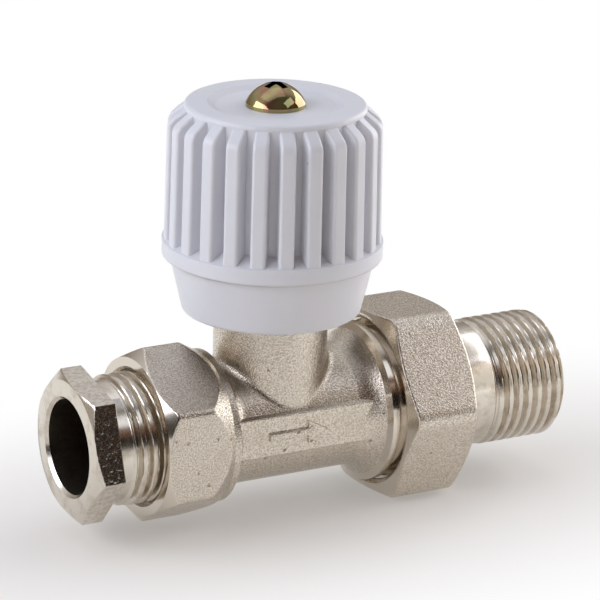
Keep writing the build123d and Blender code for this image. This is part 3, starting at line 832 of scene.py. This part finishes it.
@dataclass
class ForgedBody(SubAssembly):
    """Valve body: forged tee with turned ends and a flow arrow on its front panel. Millimetres."""

    hex_face_r: float = 12.7
    hex_corner_r: float = 14.722
    hex_face_l: float = 1.7
    land_to_union_face: float = 8.8
    bore_clear_r: float = 8.95
    tube_r: float = 9.95
    panel_proud: float = 0.12
    panel_z: float = 0.25
    arrow_l: float = 10.5
    arrow_w: float = 3.6
    arrow_shaft_w: float = 1.3
    arrow_head_l: float = 3.6
    arrow_proud: float = 0.45
    arrow_sunk: float = 0.15
    arrow_edge: float = 0.22
    arrow_edge_steps: int = 3
    edge_tolerance: float = 0.06
    arrow: bpy.types.Object | None = None

    def build(self) -> None:
        """Cuts the flow arrow that stands on the front panel."""
        spindle_x = sum(corner.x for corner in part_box("handwheel")) / 2 / MM
        panel_y = -(self.tube_r + self.panel_proud)
        tip = self.arrow_l / 2
        neck = tip - self.arrow_head_l
        half, shaft = self.arrow_w / 2, self.arrow_shaft_w / 2
        upper = [(-tip, shaft), (neck, shaft), (neck, half), (tip, 0.0)]
        lower = [(x, -z) for x, z in reversed(upper[:-1])]
        outline = [(x, self.panel_z + z) for x, z in upper + lower]
        work = bmesh.new()
        base_y = panel_y + self.arrow_sunk
        points = [work.verts.new(Vector((spindle_x + x, base_y, z)) * MM) for x, z in outline]
        face = work.faces.new(points)
        lifted = bmesh.ops.extrude_face_region(work, geom=[face])["geom"]
        raised = [g for g in lifted if isinstance(g, bmesh.types.BMVert)]
        rise = Vector((0, -(self.arrow_proud + self.arrow_sunk), 0)) * MM
        bmesh.ops.translate(work, vec=rise, verts=raised)
        top_y = (panel_y - self.arrow_proud / 2) * MM
        edges = [e for e in work.edges if all(v.co.y < top_y for v in e.verts)]
        round_edges(work, edges, self.arrow_edge, self.arrow_edge_steps)
        mesh = bpy.data.meshes.new("flow_arrow")
        work.to_mesh(mesh)
        work.free()
        self.arrow = finished_object("flow_arrow", mesh)
        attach(self.arrow, "valve_body")

    def dress(self) -> None:
        """Blasted nickel on the forging, turned where the tools went."""
        low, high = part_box("valve_body")
        slope = (self.hex_corner_r - self.hex_face_r) / self.hex_face_l
        chamfer = (self.hex_face_r - self.edge_tolerance) * MM - slope * low.x
        regions = (
            # Chamfer round the inlet hexagon, inlet face, union end, bores
            TurnedRegion(along=-slope, across=1.0, limit=chamfer),
            TurnedRegion(along=-1.0, across=0.0, limit=-low.x - self.edge_tolerance * MM),
            TurnedRegion(along=1.0, across=0.0, limit=high.x - self.land_to_union_face * MM),
            TurnedRegion(along=0.0, across=-1.0, limit=-self.bore_clear_r * MM),
        )
        # The bores take a painted shade, within bore_clear_r of the pipe axis
        forging = BlastedNickel(
            "nickel_plated_forged_body", bore_mm=self.bore_clear_r, regions=regions
        )
        forging.dress(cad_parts["valve_body"])
        forging.dress(self.arrow)


@dataclass
class CompressionEnd(SubAssembly):
    """Hollow screw that grips the pipe, with a real thread, and its olive. Millimetres."""

    hexagon: RoundedHexagon = RoundedHexagon(across_flats=21.5, corner_deg=18.9, corner_r=0.3)
    hex_l: float = 4.4
    chamfer_deg: float = 25.0
    chamfer_steps: int = 10
    relief_l: float = 2.4
    relief_r: float = 9.7975
    thread_r: float = 10.4775
    run_out: float = 0.9
    bore_r: float = 7.6
    mouth: float = 0.5
    olive_r: float = 8.9
    cone_deg: float = 30.0
    edge: float = 0.15
    points_per_flat: int = 24
    side_tilt: float = 0.2  # a face whose normal leans further along the axis is no side
    flat_share: float = 0.98
    screw: bpy.types.Object | None = None

    def build(self) -> None:
        """Builds the screw's skin round its bore, from the mouth to the tip and back."""
        low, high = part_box("compression_screw")
        length = (high.x - low.x) / MM
        start = math.radians(self.hexagon.corner_deg)
        angles = start + np.arange(HEX_SIDES * self.points_per_flat) * HEX_SECTOR / self.points_per_flat
        hexagon = self.hexagon.radius(angles)
        flat = self.hexagon.across_flats / 2
        slope = 1 / math.tan(math.radians(self.chamfer_deg))
        fall = (hexagon.max() - flat) / slope
        thread_x = self.hex_l + self.relief_l
        thread = PipeThread(self.thread_r, thread_x, length - self.edge, run_out=self.run_out)

        stations: list[Station] = [
            (self.mouth, self.bore_r),
            (0.0, self.bore_r + self.mouth),
            (0.0, flat - self.edge),
        ]
        for place in np.linspace(0.0, fall, self.chamfer_steps):
            cone = flat - self.edge + (place + self.edge / 2) * slope
            stations.append((place + self.edge / 2, np.minimum(hexagon, cone)))
        stations += [
            (self.hex_l - self.edge, hexagon),
            (self.hex_l, hexagon - self.edge),
            (self.hex_l, self.relief_r + self.edge),
            (self.hex_l + self.edge, self.relief_r),
        ]
        for place in thread.places():
            stations.append((place, thread.radius(place, angles, self.relief_r)))
        cone_l = (self.olive_r - self.bore_r) / math.tan(math.radians(self.cone_deg))
        stations += [
            (length, self.olive_r + self.edge),
            (length, self.olive_r),
            (length - cone_l, self.bore_r),
        ]
        self.screw = skin_mesh("pipe_screw", stations, angles, low.x / MM)
        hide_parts("compression_screw")
        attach(self.screw, "compression_screw")

    def dress(self) -> None:
        """Turned nickel, with the skin of the drawn bar left on the flats and a painted shade in the
        bore.
        """
        low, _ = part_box("compression_screw")
        mesh = self.screw.data
        for finish in (NICKEL_TURNED, NICKEL_DRAWN, SHADED_BORE):
            mesh.materials.append(finish.material())
        flat = self.hexagon.across_flats / 2 * MM
        hex_end = low.x + self.hex_l * MM
        bore_start = low.x + self.mouth * MM
        for face in mesh.polygons:
            across = math.hypot(face.center.y, face.center.z)
            on_side = abs(face.normal.x) < self.side_tilt and face.center.x < hex_end
            skin = ScrewSkin.TURNED
            # Faces inside the bore take the painted shade
            if across < self.olive_r * MM and face.center.x > bore_start:
                skin = ScrewSkin.BORE
            elif on_side and across > flat * self.flat_share:
                skin = ScrewSkin.DRAWN
            face.material_index = skin.value
        BRASS_TURNED.dress(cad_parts["olive"])


@dataclass
class UnionEnd(SubAssembly):
    """Union nut, threaded tail with its two inner lugs, and the flat seal. Millimetres."""

    tail_bore_r: float = 7.6
    collar_t: float = 2.3
    collar_r: float = 12.6
    shank_r: float = 10.2975
    thread_r: float = 10.4775
    chamfer: float = 0.9
    lug_w: float = 3.0
    lug_h: float = 1.8
    lug_l: float = 7.0
    lug_edge: float = 0.3
    lug_edge_steps: int = 2
    edge: float = 0.15
    points_round: int = 168
    nut_face_r: float = 14.3
    nut_corner_r: float = 17.3205
    nut_chamfer_l: float = 1.0
    nut_end_chamfer_l: float = 1.5
    nut_bore_r: float = 13.35
    edge_tolerance: float = 0.06
    tail: bpy.types.Object | None = None

    def build(self) -> None:
        """Builds the tail's skin with a real thread, and the lugs in its bore."""
        low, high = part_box("tailpiece")
        start, end = low.x / MM, high.x / MM
        angles = np.arange(self.points_round) * FULL_TURN / self.points_round
        thread = PipeThread(self.thread_r, 0.0, end - self.edge)
        stations: list[Station] = [
            (start, self.tail_bore_r),
            (start, self.collar_r - self.edge),
            (start + self.edge, self.collar_r),
            (start + self.collar_t - self.edge, self.collar_r),
            (start + self.collar_t, self.collar_r - self.edge),
            (start + self.collar_t, self.shank_r),
        ]
        for place in thread.places():
            cone = self.thread_r - self.chamfer + (end - place)
            stations.append((place, np.minimum(thread.radius(place, angles, self.shank_r), cone)))
        stations += [
            (end, self.thread_r - self.chamfer - 2 * self.edge),
            (end, self.tail_bore_r + self.chamfer / 2),
            (end - self.chamfer / 2, self.tail_bore_r),
        ]
        self.tail = skin_mesh("threaded_tail", stations, angles, 0.0)
        self.add_lugs(start)
        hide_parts("tailpiece")
        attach(self.tail, "tail")

    def add_lugs(self, start: float) -> None:
        """Adds the two lugs that a key turns the tail by.

        Args:
            start: Place of the tail's inner end along the pipe axis, in millimetres.
        """
        work = bmesh.new()
        work.from_mesh(self.tail.data)
        # Each lug is rooted a third of the way into the tail's wall
        depth = self.lug_h + (self.shank_r - self.tail_bore_r) / 3
        size = Matrix.Diagonal((self.lug_l * MM, self.lug_w * MM, depth * MM, 1.0))
        for side in (-1, 1):
            middle = side * (self.tail_bore_r - self.lug_h + depth / 2)
            place = Matrix.Translation(Vector((start + self.edge + self.lug_l / 2, 0, middle)) * MM)
            block = set(bmesh.ops.create_cube(work, size=1.0, matrix=place @ size)["verts"])
            edges = [edge for edge in work.edges if edge.verts[0] in block]
            round_edges(work, edges, self.lug_edge, self.lug_edge_steps)
        work.to_mesh(self.tail.data)
        work.free()
        self.tail.data.set_sharp_from_angle(angle=SHARP_ANGLE)

    def dress(self) -> None:
        """Turned nickel on the tail, blasted nickel on the nut and rubber on the seal."""
        low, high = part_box("union_nut")
        rise = self.nut_corner_r - self.nut_face_r
        slope, end_slope = rise / self.nut_chamfer_l, rise / self.nut_end_chamfer_l
        rim = (self.nut_face_r - self.edge_tolerance) * MM
        regions = (
            # Chamfers at the body's end and at the tail's end, bore
            TurnedRegion(along=-slope, across=1.0, limit=rim - slope * low.x),
            TurnedRegion(along=end_slope, across=1.0, limit=rim + end_slope * high.x),
            TurnedRegion(along=0.0, across=-1.0, limit=-self.nut_bore_r * MM),
        )
        # The nut's bore takes a painted shade, within nut_bore_r of the pipe axis
        nut = BlastedNickel("nickel_plated_forged_nut", bore_mm=self.nut_bore_r, regions=regions)
        nut.dress(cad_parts["union_nut"])
        NICKEL_TURNED.dress(self.tail)
        EPDM.dress(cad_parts["tail_seal_ring"])


@dataclass
class Headwork(SubAssembly):
    """Handwheel, its screw, and the spindle, bonnet and disc under it."""

    flange_bottom_mm: float = 27.1
    brass: tuple[str, ...] = (
        "bonnet", "packing_nut", "gland_follower", "spindle", "valve_disc", "washer_screw",
    )
    rubber: tuple[str, ...] = (
        "bonnet_seal_ring", "lower_spindle_ring", "upper_spindle_ring", "seat_washer",
    )

    def dress(self) -> None:
        """Gives each piece of the headwork its own finish."""
        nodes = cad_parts
        MouldedAbs("moulded_white_abs", flange_shade_z_mm=self.flange_bottom_mm).dress(nodes["handwheel"])
        YellowZinc("yellow_passivated_zinc").dress(nodes["handwheel_screw"])
        for name in self.brass:
            BRASS_UPRIGHT.dress(nodes[name])
        for name in self.rubber:
            EPDM.dress(nodes[name])
        STEEL_SPRING.dress(nodes["disc_clip"])
        PTFE.dress(nodes["packing_ring"])


@dataclass(frozen=True)
class SoftBox:
    """A soft studio lamp. Metres, with its level as the light that its face gives."""

    name: str
    position: tuple[float, float, float]
    aim: tuple[float, float, float]
    width: float
    height: float
    level: float
    colour: str

    def build(self) -> None:
        """Hangs the lamp and points it."""
        data = bpy.data.lights.new(self.name, "AREA")
        data.shape = "RECTANGLE"
        data.size = self.width
        data.size_y = self.height
        data.energy = self.level * math.pi * self.width * self.height
        data.color = linear(self.colour)[:3]
        lamp = bpy.data.objects.new(self.name, data)
        lamp.location = self.position
        towards = Vector(self.aim) - Vector(self.position)
        lamp.rotation_mode = "QUATERNION"
        lamp.rotation_quaternion = towards.to_track_quat("-Z", "Y")
        bpy.context.scene.collection.objects.link(lamp)


@dataclass
class Studio:
    """Paper floor, soft lamps, the room round them, and the camera."""

    azimuth_deg: float = -29.42
    elevation_deg: float = 18.404
    roll_deg: float = 1.534
    distance: float = 0.54767
    target: tuple[float, float, float] = (-0.055502, -0.043371, 0.035127)
    focal_px: float = 3765.0
    image_px: float = 600.0
    sensor_mm: float = 36.0
    clip: Band = (0.02, 20.0)
    floor_half: float = 3.0
    back_fill: str = "#B6BAC4"
    front_fill: str = "#7C716B"
    back_wall: str = "#9E9389"
    back_ceiling: str = "#DFDFE1"
    front_wall: str = "#17120E"
    front_beam: str = "#74523C"
    front_ceiling: str = "#6A6663"
    back_rise: Band = (0.12, 0.6)
    beam_rise: Band = (0.33, 0.44)
    ceiling_rise: Band = (0.46, 0.75)
    front_turn: Band = (0.2, -0.35)
    # Name, position, aim, width, height, level and colour of each lamp
    lamps: tuple[SoftBox, ...] = (
        SoftBox("overhead_box", (-0.1, 0.08, 0.5), (-0.1, 0.08, 0.0), 0.52, 0.38, 0.42, "#E4EEFF"),
        SoftBox("front_top_box", (0.27, -0.32, 0.49), (-0.02, 0.0, 0.01), 0.42, 0.21, 1.2, "#EEF4FF"),
        SoftBox("right_card", (0.13, -0.11, 0.05), (0.0, 0.0, 0.0), 0.13, 0.12, 0.9, "#FFFDF8"),
        SoftBox("left_box", (-0.45, 0.0, 0.25), (-0.04, 0.0, 0.03), 0.56, 0.22, 3.6, "#EEF3FF"),
        SoftBox("far_box", (0.41, 0.04, 0.17), (-0.04, 0.0, 0.03), 0.42, 0.33, 3.1, "#F4F7FF"),
    )

    def build(self) -> None:
        """Sets up the floor, the room, the lamps and the camera."""
        self.add_floor()
        self.add_room()
        for lamp in self.lamps:
            lamp.build()
        self.add_camera()
        bpy.context.scene.view_settings.view_transform = "Standard"

    def add_floor(self) -> None:
        """Lays the paper under the lowest point of the valve."""
        low, high = CAD_BOX
        middle = (low + high) / 2
        half = self.floor_half
        signs = ((-1, -1), (1, -1), (1, 1), (-1, 1))
        corners = [(middle.x + a * half, middle.y + b * half, low.z) for a, b in signs]
        mesh = bpy.data.meshes.new("paper_floor")
        mesh.from_pydata(corners, [], [(0, 1, 2, 3)])
        floor = bpy.data.objects.new("paper_floor", mesh)
        bpy.context.scene.collection.objects.link(floor)
        PaperSweep("white_paper_sweep", centre=(middle.x, middle.y, low.z)).dress(floor)
        floor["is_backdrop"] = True

    def add_room(self) -> None:
        """Surrounds the valve with a room.

        Metal mirrors it as pale behind the valve, and on the camera's side as dark low down, brown
        higher up and grey above. Dull surfaces take a plain fill from it.
        """
        world = bpy.data.worlds.new("studio_room")
        bpy.context.scene.world = world
        world.use_nodes = True
        tree = world.node_tree
        towards = add_node(tree, "ShaderNodeTexCoord").outputs["Generated"]
        axes = add_node(tree, "ShaderNodeSeparateXYZ", {0: towards}).outputs
        bands = (
            ("Z", self.back_rise),
            ("Z", self.beam_rise),
            ("Z", self.ceiling_rise),
            ("Y", self.front_turn),
        )
        back_up, beam_up, ceiling_up, front = (
            add_node(
                tree, "ShaderNodeMapRange", {"Value": axes[axis], **span(band)},
                interpolation_type="SMOOTHSTEP",
            ).outputs[0]
            for axis, band in bands
        )
        back_side = add_node(
            tree, "ShaderNodeMix",
            {0: back_up, MIX_A: linear(self.back_wall), MIX_B: linear(self.back_ceiling)},
            data_type="RGBA",
        ).outputs[MIX_RESULT]
        beam = add_node(
            tree, "ShaderNodeMix",
            {0: beam_up, MIX_A: linear(self.front_wall), MIX_B: linear(self.front_beam)},
            data_type="RGBA",
        ).outputs[MIX_RESULT]
        camera_side = add_node(
            tree, "ShaderNodeMix", {0: ceiling_up, MIX_A: beam, MIX_B: linear(self.front_ceiling)},
            data_type="RGBA",
        ).outputs[MIX_RESULT]
        mirrored = add_node(
            tree, "ShaderNodeMix", {0: front, MIX_A: back_side, MIX_B: camera_side}, data_type="RGBA"
        ).outputs[MIX_RESULT]
        rays = add_node(tree, "ShaderNodeLightPath").outputs
        glossy = add_node(
            tree, "ShaderNodeMath",
            {0: rays["Is Glossy Ray"], 1: rays["Is Transmission Ray"]}, operation="MAXIMUM",
        ).outputs[0]
        fill = add_node(
            tree, "ShaderNodeMix",
            {0: front, MIX_A: linear(self.back_fill), MIX_B: linear(self.front_fill)}, data_type="RGBA",
        ).outputs[MIX_RESULT]
        lit = add_node(
            tree, "ShaderNodeMix", {0: glossy, MIX_A: fill, MIX_B: mirrored}, data_type="RGBA"
        ).outputs[MIX_RESULT]
        set_inputs(tree, tree.nodes["Background"], {"Color": lit})

    def add_camera(self) -> None:
        """Stands the camera where the photograph was taken from."""
        azimuth, elevation = math.radians(self.azimuth_deg), math.radians(self.elevation_deg)
        roll = math.radians(self.roll_deg)
        flat = math.cos(elevation)
        back = Vector((math.sin(azimuth) * flat, -math.cos(azimuth) * flat, math.sin(elevation)))
        level = Vector((math.cos(azimuth), math.sin(azimuth), 0))
        upright = back.cross(level)
        right = math.cos(roll) * level + math.sin(roll) * upright
        up = math.cos(roll) * upright - math.sin(roll) * level
        data = bpy.data.cameras.new("photo_camera")
        data.sensor_width = self.sensor_mm
        data.lens = self.focal_px / self.image_px * self.sensor_mm
        data.clip_start, data.clip_end = self.clip
        camera = bpy.data.objects.new("photo_camera", data)
        turn = Matrix((right, up, back)).transposed().to_4x4()
        camera.matrix_world = Matrix.Translation(Vector(self.target) + back * self.distance) @ turn
        bpy.context.scene.collection.objects.link(camera)
        bpy.context.scene.camera = camera


def main() -> None:
    """Builds and dresses each sub-assembly, then the studio."""
    logging.basicConfig(level=logging.INFO, format="%(name)s: %(message)s")
    Studio().build()
    for assembly in (ForgedBody(), CompressionEnd(), UnionEnd(), Headwork()):
        assembly.build()
        assembly.dress()
        log.info("%s is built", type(assembly).__name__)
    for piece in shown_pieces():
        log.info("%s: %d faces", piece.name, len(piece.data.polygons))


if __name__ == "__main__":
    main()
